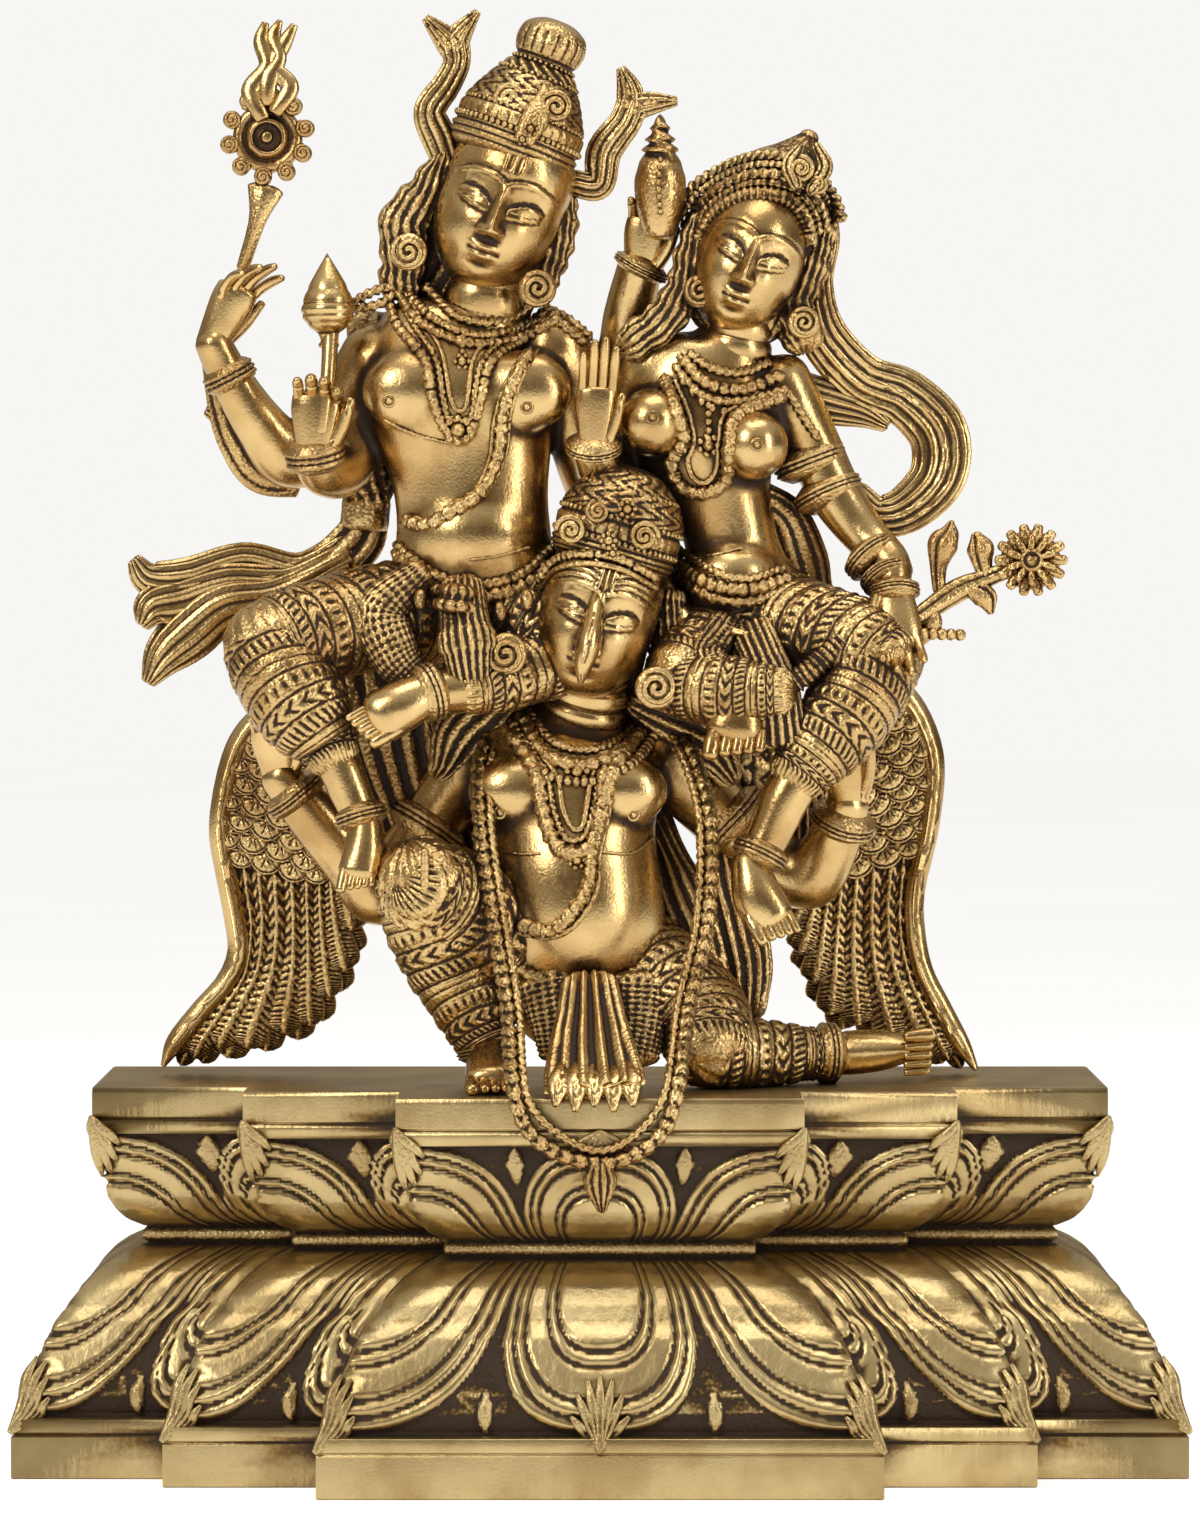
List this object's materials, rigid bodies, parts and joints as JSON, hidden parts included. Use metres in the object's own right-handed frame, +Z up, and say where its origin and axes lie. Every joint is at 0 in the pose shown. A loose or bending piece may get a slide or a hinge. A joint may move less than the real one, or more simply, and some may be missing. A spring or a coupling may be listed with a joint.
{
  "type": "vishnu on garuda statue",
  "caption": "Cast brass group of four-armed Vishnu and Lakshmi carried by kneeling winged Garuda, on a wide stepped plinth with double lotus petals.",
  "frame": {"origin": "middle of the plinth's underside, on the floor", "axes": "+Z up, the figures face -Y, +X is the viewer's right, the plinth is widest along X"},
  "size_m": [0.28, 0.124, 0.3494],
  "materials": {
    "plinth_brass": "brushed, dull in the recesses",
    "figure_brass": "polished on the raised parts, dark in the recesses"
  },
  "bodies": {
    "root": {"plinth": "plinth_brass", "figure_group": "figure_brass"}
  },
  "joints": []
}
